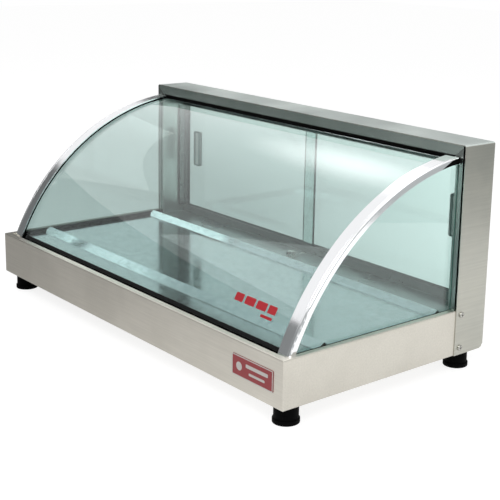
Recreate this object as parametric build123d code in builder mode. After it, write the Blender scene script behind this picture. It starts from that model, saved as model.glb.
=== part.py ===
from build123d import *
import math
import os

# Countertop warmer: a stainless steel base on four rubber feet, a curved front glass between
# two flat side glasses, and a portal at the back that carries two sliding glass doors.
# X runs across the front, Y from the front to the back and Z up. The origin is on the counter,
# below the middle of the whole case. Sizes are millimetres.

# Sheet metal and glass
sheet = 1.0
glass = 4.0
face_gap = 0.2

# Base
base_width = 700.0
base_depth = 353.0
base_height = 63.0
ledge_front = 9.0
ledge_side = 8.0
deck_drop = 7.0
shelf_width = 8.0
fold_radius = 1.5
bottom_flange = 12.0
corner_plate = 48.0
cover_inset = 4.0
cover_corner = 46.0
vent_width = 3.5
vent_length = 60.0
vent_pitch = 36.0
vent_columns = 9
vent_row_pitch = 110.0
cover_screw_spacing = 203.0
slot_length = 100.0
slot_pitch = 28.0
slot_count = 15

# Feet
foot_height = 26.0
foot_diameter = 31.0
foot_pad_diameter = 34.0
foot_pad_height = 6.0
foot_inset_x = 23.0
foot_front_inset = 25.0
foot_rear_inset = 26.0
foot_recess_diameter = 13.0
foot_recess_depth = 15.0
foot_edge_radius = 1.0

# Side glasses, set in from the base's sides
side_glass_inset = 9.0
side_glass_seat = 1.5
side_glass_rear_gap = 0.5

# Warming plate with two folded ridges, open at their ends. A ridge's three depths are its
# front toe, its top and its rear toe: from the base's front, or back from the portal's front.
plate_thickness = 1.0
plate_side_gap = 3.0
plate_front = 26.5
plate_rear_gap = 5.0
ridge_height = 8.0
front_ridge = (63.0, 75.0, 83.0)
rear_ridge = (30.0, 20.5, 13.0)

# Curved front glass: outer face radius, side gaps, and where its two edges lie: the lower one
# behind the base's front and above its floor, the upper one before and below the portal's beam
bend_radius = 339.5
front_glass_side_gap = 0.5
foot_point = (19.4, 59.5)
top_inset = 0.8
top_drop = 5.15

# Aluminium trims along the curved edges, with a black gasket under each
trim_width = 21.0
trim_thickness = 1.5
trim_side_thickness = 1.0
trim_side_depth = 8.4
trim_corner_radius = 2.4
trim_inner_radius = 1.0
trim_groove_radius = 0.4
trim_groove_inset = 4.5
gasket_thickness = 3.0
gasket_width = 14.7
gasket_side_gap = 0.3
trim_foot_clearance = 1.5

# Black wedge seals where the side glasses meet the portal: how far in front of it each
# wedge's lower and upper edge begins
seal_low_reach = 33.0
seal_high_reach = 13.5

# Black glazing seals
seal_wall = 1.5
seal_lip = 5.0
channel_wall = 1.0
channel_height = 6.0
channel_front = 26.5
beam_gasket_front = 2.0
beam_gasket_depth = 4.0

# Portal
portal_depth = 58.0
portal_height = 284.0
beam_height = 15.0
post_width = 16.0
post_slit = 2.5
skin_setback = 0.5
skin_fold_radius = 3.0
skin_chamfer = 6.0
portal_screw_depth = 10.7
portal_screw_heights = (9.8, 55.8)

# Door sill, head track, jambs and doors
track_wall = 1.5
track_groove = 5.0
sill_height = 12.0
head_track_height = 24.0
head_track_roof = 2.0
track_end_gap = 0.2
jamb_width = 4.0
jamb_depth = 24.0
jamb_wall = 1.0
pane_lift = 0.5
pane_head_entry = 10.0
door_side_gap = 1.0
door_overlap = 28.0
pull_width = 19.0
pull_height = 60.0
pull_inset = 38.5
pull_centre_height = 174.0
pull_lip = 1.0
pull_lip_thickness = 0.8
pull_wall = 1.0
pull_corner = 3.0

# Badge plate
badge_width = 78.0
badge_height = 27.0
badge_thickness = 0.8
badge_inset = 57.0
badge_centre_height = 31.5
badge_corner = 1.5

# Controls on the rear wall, all at one height, set in from the base's right side
control_height = 31.0
thermostat_inset = 170.0
thermostat_size = (40.0, 30.0, 34.0)
bush_diameter = 9.6
bush_hole_gap = 0.4
shaft_diameter = 6.0
shaft_running_gap = 0.05
shaft_flat = 1.0
shaft_in_body = 12.0
shaft_out = 13.0
thermostat_screw_spacing = 28.0
dial_diameter = 54.0
dial_thickness = 0.8
knob_gap = 0.5
knob_diameter = 42.0
knob_length = 16.0
knob_recess_diameter = 37.0
knob_recess_depth = 4.0
knob_boss_diameter = 13.0
knob_grip_width = 10.0
knob_grip_inset = 2.0
knob_grip_height = 9.0
knob_skirt_radius = 1.5
knob_grip_radius = 1.2
lamp_inset = 230.0
lamp_bezel_diameter = 15.0
lamp_bezel_height = 2.0
lamp_body_diameter = 10.0
lamp_body_length = 22.0
lamp_lens_diameter = 10.0
lamp_seat = 0.8
lamp_lens_height = 5.0
lamp_lens_radius = 2.0
gland_inset = 88.0
gland_thread_diameter = 12.0
gland_bore = 7.0
gland_cap_diameter = 19.0
gland_cap_length = 13.0
gland_cap_radius = 3.0
gland_thread_length = 12.0
gland_nut_width = 17.0
gland_nut_height = 4.0

# Heater under the deck, its front leg set from the base's front and its rear leg from the rear
element_diameter = 8.0
element_height = 42.0
element_front = 110.0
element_rear_inset = 123.0
element_end_inset = 100.0
collar_diameter = 11.0
collar_length = 10.0
pin_diameter = 4.0
pin_length = 12.0
bracket_x = 150.0
bracket_drop = 22.0
bracket_overhang = 18.0
bracket_flange = 12.0
bracket_thickness = 1.5
bracket_hole_gap = 0.1
terminal_block_size = (44.0, 22.0, 18.0)
terminal_block_inset = (125.0, 53.0)
terminal_block_bevel = 2.0
terminal_well_diameter = 5.0
terminal_well_depth = 6.0
terminal_pitch = 13.0
terminal_row_pitch = 10.4

# Temperature sensor on the deck, with its capillary tube
sensor_x = 9.5
sensor_set_back = 0.0
clip_width = 9.0
clip_length = 12.0
clip_height = 9.0
clip_sheet = 1.0
bulb_diameter = 5.6
bulb_length = 13.0
capillary_diameter = 1.6
capillary_radius = 5.0
capillary_drop_inset = 23.0
capillary_height = 44.0
capillary_hole = 3.0

# Leads inside the base: how far each one runs before and beside what it connects
lead_diameter = 2.6
lead_radius = 9.0
lead_loop_reach = 46.0
lead_inner_loop_reach = 22.0
lead_exit_run = 22.0
lead_short_run = 20.0
lead_lamp_run = 34.0
lead_long_run = 40.0
lead_loop_lead_in = 20.0
lead_loop_rise = 2.0
block_lead_offsets = (10.0, -12.0, -1.0)
thermostat_lead_offsets = (12.0, -8.0)
thermostat_lead_heights = (24.0, 32.0)

# Screws
pan_head_diameter = 8.0
pan_head_height = 2.4
pan_shank = 4.0
pan_length = 7.0
cover_head_diameter = 6.0
cover_head_height = 2.0
cover_shank = 3.0
cover_length = 6.0
foot_screw_head = 10.0
foot_screw_head_height = 3.5
foot_screw_shank = 5.0
foot_nut_width = 8.0
foot_nut_height = 4.0
screw_tail = 2.0
recess_width = 0.9
recess_depth = 1.2
recess_share = 0.55
head_round_share = 0.6
thread_gap = 0.1

# Places worked out from the sizes above
rear_reach = dial_thickness + knob_gap + knob_length
front_y = -(base_depth + rear_reach - badge_thickness) / 2
rear_y = front_y + base_depth
base_z = foot_height
ledge_z = base_z + base_height
deck_z = ledge_z - deck_drop
half_width = base_width / 2
opening_x = half_width - ledge_side
portal_front = base_depth - portal_depth
portal_y = rear_y - portal_depth
doorway_x = half_width - post_width
portal_top_z = base_z + portal_height
soffit_z = portal_top_z - beam_height
post_flange_x = half_width - post_slit
inner_rear_y = rear_y - sheet
middle_y = (front_y + rear_y) / 2
control_z = base_z + control_height
side_glass_outer = half_width - side_glass_inset
side_glass_inner = side_glass_outer - glass
plate_x = side_glass_inner - plate_side_gap
front_glass_x = side_glass_inner - front_glass_side_gap
badge_x = half_width - badge_inset
thermostat_x = half_width - thermostat_inset
lamp_x = half_width - lamp_inset
gland_x = half_width - gland_inset
element_half_length = half_width - element_end_inset
element_rear = base_depth - element_rear_inset

os.makedirs("parts", exist_ok=True)


def depth_y(depth):
    """Y of a point that lies this far behind the base's front face."""
    return front_y + depth


def height_z(height):
    """Z of a point that lies this high above the base's lower face."""
    return base_z + height


def side_point(point):
    """Depth and height turned to the Y and Z of the side view."""
    return (depth_y(point[0]), height_z(point[1]))


def slab(x_range, y_range, z_range, mode=Mode.ADD):
    """Box between two X, two Y and two Z values."""
    centre = [sum(pair) / 2 for pair in (x_range, y_range, z_range)]
    size = [pair[1] - pair[0] for pair in (x_range, y_range, z_range)]
    with Locations(tuple(centre)):
        Box(*size, mode=mode)


def save(piece, name):
    """Label a finished piece and write its file."""
    piece.part.label = name
    export_step(piece.part, f"parts/{name}.step")


def mirrored(piece):
    """The same piece for the other side of the case."""
    with BuildPart() as other:
        add(piece.part)
        mirror(about=Plane.YZ, mode=Mode.REPLACE)
    return other


# Axis of the bend: both edges of the glass's outer face lie on one circle
foot_yz = Vector(*side_point(foot_point))
top_yz = Vector(portal_y - top_inset, soffit_z - top_drop)
chord = top_yz - foot_yz
axis_offset = math.sqrt(bend_radius**2 - (chord.length / 2) ** 2)
axis_yz = foot_yz + chord * 0.5 + Vector(chord.Y, -chord.X).normalized() * axis_offset
foot_angle = math.degrees(math.atan2(foot_yz.Y - axis_yz.Y, foot_yz.X - axis_yz.X))
top_angle = math.degrees(math.atan2(top_yz.Y - axis_yz.Y, top_yz.X - axis_yz.X))
inner_radius = bend_radius - glass
trim_radius = bend_radius + gasket_thickness + trim_thickness
side_glass_radius = trim_radius - trim_thickness - trim_inner_radius - face_gap
over_angle = 4.0
trim_outer_x = side_glass_outer + trim_side_thickness
trim_side_radius = trim_radius - trim_side_depth
trim_under_radius = trim_radius - trim_thickness


def on_arc(radius, angle):
    """Side-view point at a radius and angle about the bend axis."""
    turn = math.radians(angle)
    return (axis_yz.X + radius * math.cos(turn), axis_yz.Y + radius * math.sin(turn))


def arc_angle_at(radius, y):
    """Angle about the bend axis at which a circle passes this Y, above the axis."""
    return math.degrees(math.acos((y - axis_yz.X) / radius))


def arc_band(low_radius, high_radius, first_angle, last_angle):
    """Side-view face between two radii and two angles about the bend axis."""
    sweep_angle = last_angle - first_angle
    centre = (axis_yz.X, axis_yz.Y)
    with BuildSketch(Plane.YZ) as band:
        with BuildLine():
            CenterArc(centre, high_radius, first_angle, sweep_angle)
            CenterArc(centre, low_radius, first_angle, sweep_angle)
            Line(on_arc(low_radius, first_angle), on_arc(high_radius, first_angle))
            Line(on_arc(low_radius, last_angle), on_arc(high_radius, last_angle))
        make_face()
    return band.sketch


def pan_screw(head_diameter, head_height, shank_diameter, length):
    """Pan-head screw with a cross recess, head above Z = 0 and shank below."""
    with BuildPart() as screw:
        with BuildSketch():
            Circle(head_diameter / 2)
        extrude(amount=head_height)
        fillet(screw.edges().sort_by(Axis.Z)[-1], head_height * head_round_share)
        with BuildSketch():
            Circle(shank_diameter / 2)
        extrude(amount=-length)
        with BuildSketch(Plane.XY.offset(head_height)):
            Rectangle(head_diameter * recess_share, recess_width)
            Rectangle(recess_width, head_diameter * recess_share)
        extrude(amount=-recess_depth, mode=Mode.SUBTRACT)
    return screw.part


# Places of the repeated fasteners
portal_screw_y = portal_y + portal_screw_depth
portal_screw_points = [(portal_screw_y, height_z(height)) for height in portal_screw_heights]
foot_points = {
    "foot_front_left": (-half_width + foot_inset_x, front_y + foot_front_inset),
    "foot_front_right": (half_width - foot_inset_x, front_y + foot_front_inset),
    "foot_rear_left": (-half_width + foot_inset_x, rear_y - foot_rear_inset),
    "foot_rear_right": (half_width - foot_inset_x, rear_y - foot_rear_inset),
}
cover_screw_inset = (cover_inset + bottom_flange) / 2
cover_screw_points = [
    (x, y)
    for x in (-cover_screw_spacing, 0, cover_screw_spacing)
    for y in (front_y + cover_screw_inset, rear_y - cover_screw_inset)
]
cover_screw_points += [
    (side * (half_width - cover_screw_inset), middle_y) for side in (-1, 1)
]
thermostat_screw_points = [
    (thermostat_x + side * thermostat_screw_spacing / 2, control_z) for side in (-1, 1)
]


def rear_hole(x, z, radius):
    """Hole through the rear wall of the part being built."""
    with Locations(Location((x, rear_y - sheet / 2, z), (90, 0, 0))):
        Cylinder(radius, 4 * sheet, mode=Mode.SUBTRACT)


# Base: a folded box with a ledge round its top, a lip and a shelf that carry the deck
with BuildPart() as base_box:
    slab((-half_width, half_width), (front_y, rear_y), (base_z, ledge_z))
    fillet(base_box.edges(), fold_radius)
    inside_x = (-half_width + sheet, half_width - sheet)
    slab(inside_x, (front_y + sheet, inner_rear_y), (base_z + sheet, ledge_z - sheet), Mode.SUBTRACT)
    ledge_z_range = (ledge_z - sheet, ledge_z)
    slab((-opening_x, opening_x), (front_y + ledge_front, inner_rear_y), ledge_z_range, Mode.SUBTRACT)
    slab(inside_x, (portal_y, inner_rear_y), ledge_z_range, Mode.SUBTRACT)
    lip_x = opening_x + sheet
    shelf_z = deck_z - 2 * sheet
    slab((-lip_x, lip_x), (front_y + ledge_front - sheet, portal_y), (shelf_z, ledge_z - sheet))
    lip_inside_y = (front_y + ledge_front, portal_y)
    slab((-opening_x, opening_x), lip_inside_y, (shelf_z + sheet, ledge_z), Mode.SUBTRACT)
    well_x = opening_x - shelf_width
    well_y = (front_y + ledge_front + shelf_width, portal_y)
    slab((-well_x, well_x), well_y, (shelf_z, shelf_z + sheet), Mode.SUBTRACT)
    slab(inside_x, (inner_rear_y - shelf_width, inner_rear_y), (shelf_z, shelf_z + sheet))
    floor_z = (base_z, base_z + sheet)
    narrow_x = half_width - corner_plate
    wide_x = half_width - bottom_flange
    slab((-narrow_x, narrow_x), (front_y + bottom_flange, rear_y - bottom_flange), floor_z, Mode.SUBTRACT)
    slab((-wide_x, wide_x), (front_y + corner_plate, rear_y - corner_plate), floor_z, Mode.SUBTRACT)
    rear_hole(thermostat_x, control_z, (bush_diameter + bush_hole_gap) / 2)
    rear_hole(lamp_x, control_z, (lamp_body_diameter + bush_hole_gap) / 2)
    rear_hole(gland_x, control_z, (gland_thread_diameter + bush_hole_gap) / 2)
    for x, z in thermostat_screw_points:
        rear_hole(x, z, (cover_shank + thread_gap) / 2)
    for y, z in portal_screw_points:
        with Locations(Location((0, y, z), (0, 90, 0))):
            Cylinder((pan_shank + thread_gap) / 2, base_width + 2 * sheet, mode=Mode.SUBTRACT)
    with BuildSketch(Plane.XY.offset(base_z)):
        with Locations(*foot_points.values()):
            Circle((foot_screw_shank + thread_gap) / 2)
        with Locations(*cover_screw_points):
            Circle((cover_shank + thread_gap) / 2)
    extrude(amount=sheet, mode=Mode.SUBTRACT)


def end_rail_space(edge_y):
    """Space of the front or rear rail: mitred at its ends, clear of the plates over the feet."""
    run = base_depth / 2
    with BuildPart() as space:
        with BuildSketch(Plane.XY.offset(base_z)):
            with BuildLine():
                Polyline(
                    (-half_width, edge_y),
                    (half_width, edge_y),
                    (half_width - run, middle_y),
                    (-half_width + run, middle_y),
                    close=True,
                )
            make_face()
        extrude(amount=base_height)
        wall_y = edge_y + math.copysign(sheet, middle_y - edge_y)
        for x_range in ((-half_width, -narrow_x), (narrow_x, half_width)):
            slab(x_range, sorted((wall_y, middle_y)), floor_z, Mode.SUBTRACT)
    return space.part


# The box is welded from four rails: front and rear, and two sides that keep the corner plates
front_space = end_rail_space(front_y)
rear_space = end_rail_space(rear_y)
with BuildPart() as base_front:
    add(base_box.part)
    add(front_space, mode=Mode.INTERSECT)
save(base_front, "base_front")
with BuildPart() as base_rear:
    add(base_box.part)
    add(rear_space, mode=Mode.INTERSECT)
save(base_rear, "base_rear")
for name, keep in (("base_left", Keep.TOP), ("base_right", Keep.BOTTOM)):
    with BuildPart() as base_side:
        add(base_box.part)
        add(front_space, mode=Mode.SUBTRACT)
        add(rear_space, mode=Mode.SUBTRACT)
        split(bisect_by=Plane.ZY, keep=keep)
    save(base_side, name)

# Deck: flat panel on the shelf, slotted over the heater so that warm air reaches the plate
deck_x = opening_x - face_gap
deck_y = (front_y + ledge_front + face_gap, inner_rear_y - face_gap)
heater_y = depth_y((element_front + element_rear) / 2)
with BuildPart() as deck_panel:
    slab((-deck_x, deck_x), deck_y, (deck_z - sheet, deck_z))
    with BuildSketch(Plane.XY.offset(deck_z)):
        with Locations((0, heater_y)):
            with GridLocations(slot_pitch, 0, slot_count, 1):
                SlotOverall(slot_length, vent_width, rotation=90)
        with Locations((sensor_x, rear_y - capillary_drop_inset)):
            Circle(capillary_hole / 2)
    extrude(amount=-sheet, mode=Mode.SUBTRACT)
save(deck_panel, "deck_panel")

# Bottom cover: screwed under the base's flange and cut away round the feet
with BuildPart() as bottom_cover:
    cover_z = (base_z - sheet, base_z)
    cover_y = (front_y + cover_inset, rear_y - cover_inset)
    slab((-half_width + cover_corner, half_width - cover_corner), cover_y, cover_z)
    side_y = (front_y + cover_corner, rear_y - cover_corner)
    slab((-half_width + cover_inset, half_width - cover_inset), side_y, cover_z)
    with BuildSketch(Plane.XY.offset(base_z)):
        with Locations((0, middle_y)):
            with GridLocations(vent_pitch, vent_row_pitch, vent_columns, 2):
                SlotOverall(vent_length, vent_width, rotation=90)
        with Locations(*cover_screw_points):
            Circle((cover_shank + thread_gap) / 2)
    extrude(amount=-sheet, mode=Mode.SUBTRACT)
save(bottom_cover, "bottom_cover")

with BuildPart() as cover_screws:
    cover_screw = pan_screw(cover_head_diameter, cover_head_height, cover_shank, cover_length)
    for x, y in cover_screw_points:
        with Locations(Location((x, y, base_z - sheet), (180, 0, 0))):
            add(cover_screw)
save(cover_screws, "cover_screws")

# Feet: turned rubber feet with a wider pad and a deep recess for the screw head
for foot_name, (foot_x, foot_y) in foot_points.items():
    with BuildPart() as foot:
        with BuildSketch():
            with Locations((foot_x, foot_y)):
                Circle(foot_pad_diameter / 2)
        extrude(amount=foot_pad_height)
        with BuildSketch():
            with Locations((foot_x, foot_y)):
                Circle(foot_diameter / 2)
        extrude(amount=foot_height)
        pad_edges = foot.edges().filter_by(GeomType.CIRCLE).group_by(Axis.Z)
        fillet(pad_edges[0] + pad_edges[1].group_by(SortBy.RADIUS)[-1], foot_edge_radius)
        with Locations(Location((foot_x, foot_y, 0), (180, 0, 0))):
            hole_radius = (foot_screw_shank + thread_gap) / 2
            CounterBoreHole(hole_radius, foot_recess_diameter / 2, foot_recess_depth)
    save(foot, foot_name)

with BuildPart() as foot_screws:
    grip = foot_height - foot_recess_depth + sheet + foot_nut_height + screw_tail
    foot_screw = pan_screw(foot_screw_head, foot_screw_head_height, foot_screw_shank, grip)
    for x, y in foot_points.values():
        with Locations(Location((x, y, foot_recess_depth), (180, 0, 0))):
            add(foot_screw)
save(foot_screws, "foot_screws")

with BuildPart() as foot_nuts:
    with BuildSketch(Plane.XY.offset(base_z + sheet)):
        with Locations(*foot_points.values()):
            RegularPolygon(foot_nut_width / 2, 6, major_radius=False)
            Circle((foot_screw_shank + thread_gap) / 2, mode=Mode.SUBTRACT)
    extrude(amount=foot_nut_height)
save(foot_nuts, "foot_nuts")

# Warming plate: one sheet folded into two inverted V ridges that run across the case
with BuildPart() as warming_plate:
    outline = [(plate_front, 0)]
    for front_toe, apex, rear_toe in (front_ridge, [portal_front - inset for inset in rear_ridge]):
        outline += [(front_toe, 0), (apex, ridge_height), (rear_toe, 0)]
    outline += [(portal_front - plate_rear_gap, 0)]
    lower_line = [(depth_y(depth), deck_z + rise) for depth, rise in outline]
    upper_line = [(y, z + plate_thickness) for y, z in reversed(lower_line)]
    with BuildSketch(Plane.YZ):
        with BuildLine():
            Polyline(*lower_line, *upper_line, close=True)
        make_face()
    extrude(amount=plate_x, both=True)
save(warming_plate, "warming_plate")

# Curved front glass, bent on one radius
with BuildPart() as front_glass:
    extrude(
        arc_band(inner_radius, bend_radius, top_angle, foot_angle),
        amount=front_glass_x,
        both=True,
    )
save(front_glass, "front_glass")

# Seal under the front glass: a strip on the deck with a lip behind the glass
seal_lip_angle = math.degrees(seal_lip / bend_radius)
with BuildPart() as front_glass_seal:
    seal_radius = inner_radius - seal_wall
    strip = arc_band(seal_radius, bend_radius, foot_angle - seal_lip_angle, foot_angle + over_angle)
    extrude(strip, amount=side_glass_inner - channel_wall, both=True)
    pane = arc_band(inner_radius, bend_radius, top_angle, foot_angle)
    extrude(pane, amount=half_width, both=True, mode=Mode.SUBTRACT)
    split(bisect_by=Plane.XY.offset(deck_z), keep=Keep.TOP)
save(front_glass_seal, "front_glass_seal")

# Wedge seal in the corner between side glass, trim and portal post
wedge_radius = trim_under_radius - face_gap
seal_low_angle = arc_angle_at(trim_side_radius, portal_y - seal_low_reach)
seal_start = Vector(*on_arc(trim_side_radius, seal_low_angle))
seal_end = Vector(*on_arc(wedge_radius, arc_angle_at(wedge_radius, portal_y - seal_high_reach)))
seal_plane = Plane(
    origin=(0, seal_start.X, seal_start.Y),
    x_dir=(1, 0, 0),
    z_dir=(0, (seal_end - seal_start).Y, -(seal_end - seal_start).X),
)
with BuildPart() as corner_seal_right:
    wedge_end_angle = seal_low_angle + over_angle
    extrude(
        arc_band(trim_side_radius, wedge_radius, top_angle - over_angle, wedge_end_angle),
        amount=trim_outer_x,
    )
    slab((0, side_glass_inner), (front_y, rear_y), (base_z, portal_top_z), Mode.SUBTRACT)
    split(bisect_by=Plane.XZ.offset(-portal_y), keep=Keep.TOP)
    split(bisect_by=seal_plane, keep=Keep.TOP)
save(corner_seal_right, "corner_seal_right")
corner_seal_left = mirrored(corner_seal_right)
save(corner_seal_left, "corner_seal_left")

# Side glass: flat pane whose curved edge runs just under the trim
side_glass_z = deck_z + side_glass_seat
side_glass_rear = portal_y - side_glass_rear_gap
with BuildPart() as side_glass_right:
    with BuildSketch(Plane.YZ.offset(side_glass_inner)):
        with Locations((axis_yz.X, axis_yz.Y)):
            Circle(side_glass_radius)
        window_y = (front_y + side_glass_rear) / 2
        window_z = (side_glass_z + portal_top_z) / 2
        with Locations((window_y, window_z)):
            Rectangle(side_glass_rear - front_y, portal_top_z - side_glass_z, mode=Mode.INTERSECT)
    extrude(amount=glass)
    add(corner_seal_right.part, mode=Mode.SUBTRACT)
save(side_glass_right, "side_glass_right")
side_glass_left = mirrored(side_glass_right)
save(side_glass_left, "side_glass_left")

# Channel that holds the side glass's lower edge
with BuildPart() as side_channel_right:
    channel_y = (depth_y(channel_front), side_glass_rear)
    channel_x = (side_glass_inner - channel_wall, side_glass_outer + channel_wall)
    slab(channel_x, channel_y, (deck_z, deck_z + channel_height))
    groove_z = (side_glass_z, deck_z + channel_height)
    slab((side_glass_inner, side_glass_outer), channel_y, groove_z, Mode.SUBTRACT)
save(side_channel_right, "side_channel_right")
side_channel_left = mirrored(side_channel_right)
save(side_channel_left, "side_channel_left")


# Planes that end the trims and their gaskets: the foot behind the ledge, the top at the beam
trim_foot_z = deck_z + trim_foot_clearance
beam_gasket_y = portal_y - beam_gasket_front


def cut_arc_ends():
    """Cut the arc being built level at its foot and upright at the beam gasket."""
    split(bisect_by=Plane.XY.offset(trim_foot_z), keep=Keep.TOP)
    split(bisect_by=Plane.XZ.offset(-beam_gasket_y), keep=Keep.TOP)


# Trim: L-shaped aluminium section bent along the curved edge, with a rounded outer corner
section_angle = top_angle - over_angle
section_turn = math.radians(section_angle)
section_plane = Plane(
    origin=(0, axis_yz.X, axis_yz.Y),
    x_dir=(1, 0, 0),
    z_dir=(0, -math.sin(section_turn), math.cos(section_turn)),
)
bend_axis = Axis((0, axis_yz.X, axis_yz.Y), (1, 0, 0))
with BuildPart() as trim_right:
    inner_x = trim_outer_x - trim_width
    with BuildSketch(section_plane) as trim_section:
        with BuildLine():
            Polyline(
                (inner_x, trim_under_radius),
                (side_glass_outer, trim_under_radius),
                (side_glass_outer, trim_side_radius),
                (trim_outer_x, trim_side_radius),
                (trim_outer_x, trim_radius),
                (inner_x, trim_radius),
                close=True,
            )
        make_face()
        outer_corner = trim_section.vertices().sort_by_distance((trim_outer_x, trim_radius))[0]
        fillet(outer_corner, trim_corner_radius)
        inner_corner = trim_section.vertices().sort_by_distance((side_glass_outer, trim_under_radius))[0]
        fillet(inner_corner, trim_inner_radius)
        with Locations((trim_outer_x - trim_groove_inset, trim_radius)):
            Circle(trim_groove_radius, mode=Mode.SUBTRACT)
    revolve(axis=bend_axis, revolution_arc=foot_angle + over_angle - section_angle)
    cut_arc_ends()
    add(corner_seal_right.part, mode=Mode.SUBTRACT)
save(trim_right, "trim_right")
trim_left = mirrored(trim_right)
save(trim_left, "trim_left")

# Gasket between the trim and the curved glass
with BuildPart() as trim_gasket_right:
    gasket_outer_x = side_glass_inner - gasket_side_gap
    gasket_band = arc_band(bend_radius, trim_under_radius, section_angle, foot_angle + over_angle)
    extrude(gasket_band, amount=gasket_outer_x)
    clear_x = gasket_outer_x - gasket_width
    slab((0, clear_x), (front_y, rear_y), (base_z, portal_top_z), Mode.SUBTRACT)
    cut_arc_ends()
save(trim_gasket_right, "trim_gasket_right")
trim_gasket_left = mirrored(trim_gasket_right)
save(trim_gasket_left, "trim_gasket_left")

# Gasket between the glass's upper edge and the beam
with BuildPart() as beam_gasket:
    gasket_y_range = (beam_gasket_y, beam_gasket_y + beam_gasket_depth)
    gasket_x = doorway_x - face_gap
    slab((-gasket_x, gasket_x), gasket_y_range, (soffit_z - 2 * glass, soffit_z))
    with Locations(Location((0, axis_yz.X, axis_yz.Y), (0, 90, 0))):
        Cylinder(bend_radius, base_width, mode=Mode.SUBTRACT)
save(beam_gasket, "beam_gasket")

# Portal frame: folded posts and beam round the doorway, standing on the deck
with BuildPart() as portal_frame:
    frame_top_z = portal_top_z - sheet
    flange_x = (-post_flange_x, post_flange_x)
    slab(flange_x, (portal_y, portal_y + sheet), (deck_z, frame_top_z))
    liner_x = doorway_x + sheet
    slab((-liner_x, liner_x), (portal_y, inner_rear_y), (deck_z, soffit_z + sheet))
    slab((-half_width, half_width), (inner_rear_y, rear_y), (ledge_z, frame_top_z))
    slab((-doorway_x, doorway_x), (portal_y, rear_y), (deck_z, soffit_z), Mode.SUBTRACT)
    top_corners = portal_frame.edges().filter_by(Axis.Y).group_by(Axis.Z)[-1]
    fillet(top_corners, skin_fold_radius - sheet)
save(portal_frame, "portal_frame")


def skin_outline(inset):
    """Front view of the skin's outside, or of its inside one sheet in, its folds rounded."""
    height = portal_height - inset
    with BuildSketch(Plane.XZ.offset(-portal_y - skin_setback)) as outline:
        with Locations((0, base_z + height / 2)):
            Rectangle(2 * (half_width + sheet - inset), height)
        fillet(outline.vertices().group_by(Axis.Y)[-1], skin_fold_radius - inset)
    return outline.sketch


# Portal skin: one sheet over the beam and down both sides, lapping over the base
with BuildPart() as portal_skin:
    skin_depth = portal_depth - skin_setback
    extrude(skin_outline(0.0), amount=-skin_depth)
    extrude(skin_outline(sheet), amount=-skin_depth, mode=Mode.SUBTRACT)
    lower_edges = portal_skin.edges().filter_by(Axis.X).group_by(Axis.Z)[0]
    chamfer(lower_edges.group_by(Axis.Y)[-1], skin_chamfer)
    for y, z in portal_screw_points:
        with Locations(Location((0, y, z), (0, 90, 0))):
            Cylinder((pan_shank + thread_gap) / 2, base_width + 4 * sheet, mode=Mode.SUBTRACT)
save(portal_skin, "portal_skin")

with BuildPart() as portal_screws:
    portal_screw = pan_screw(pan_head_diameter, pan_head_height, pan_shank, pan_length)
    for y, z in portal_screw_points:
        with Locations(Location((half_width + sheet, y, z), (0, 90, 0))):
            add(portal_screw)
        with Locations(Location((-half_width - sheet, y, z), (0, -90, 0))):
            add(portal_screw)
save(portal_screws, "portal_screws")

# Door sill and head track: two grooves each, the same depth behind the front for both
track_depth = 3 * track_wall + 2 * track_groove
track_rear_y = inner_rear_y - track_end_gap
track_y = track_rear_y - track_depth
track_x = doorway_x - track_end_gap
inner_groove = (track_y + track_wall, track_y + track_wall + track_groove)
outer_groove = (track_rear_y - track_wall - track_groove, track_rear_y - track_wall)
with BuildPart() as door_sill:
    sill_top = deck_z + sill_height
    slab((-track_x, track_x), (track_y, track_rear_y), (deck_z, sill_top))
    for groove in (inner_groove, outer_groove):
        slab((-track_x, track_x), groove, (deck_z + track_wall, sill_top), Mode.SUBTRACT)
save(door_sill, "door_sill")

with BuildPart() as door_head_track:
    head_low = soffit_z - head_track_height
    slab((-track_x, track_x), (track_y, track_rear_y), (head_low, soffit_z))
    for groove in (inner_groove, outer_groove):
        slab((-track_x, track_x), groove, (head_low, soffit_z - head_track_roof), Mode.SUBTRACT)
save(door_head_track, "door_head_track")

# Jambs: a channel on each cheek, between sill and head track, that the doors close into
with BuildPart() as door_jamb_right:
    jamb_x = (doorway_x - jamb_width, doorway_x)
    jamb_y = (track_rear_y - jamb_depth, track_rear_y)
    slab(jamb_x, jamb_y, (sill_top, head_low))
    groove_x = (jamb_x[0], jamb_x[1] - jamb_wall)
    groove_y = (jamb_y[0] + jamb_wall, jamb_y[1] - jamb_wall)
    slab(groove_x, groove_y, (sill_top, head_low), Mode.SUBTRACT)
save(door_jamb_right, "door_jamb_right")
door_jamb_left = mirrored(door_jamb_right)
save(door_jamb_left, "door_jamb_left")

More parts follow.
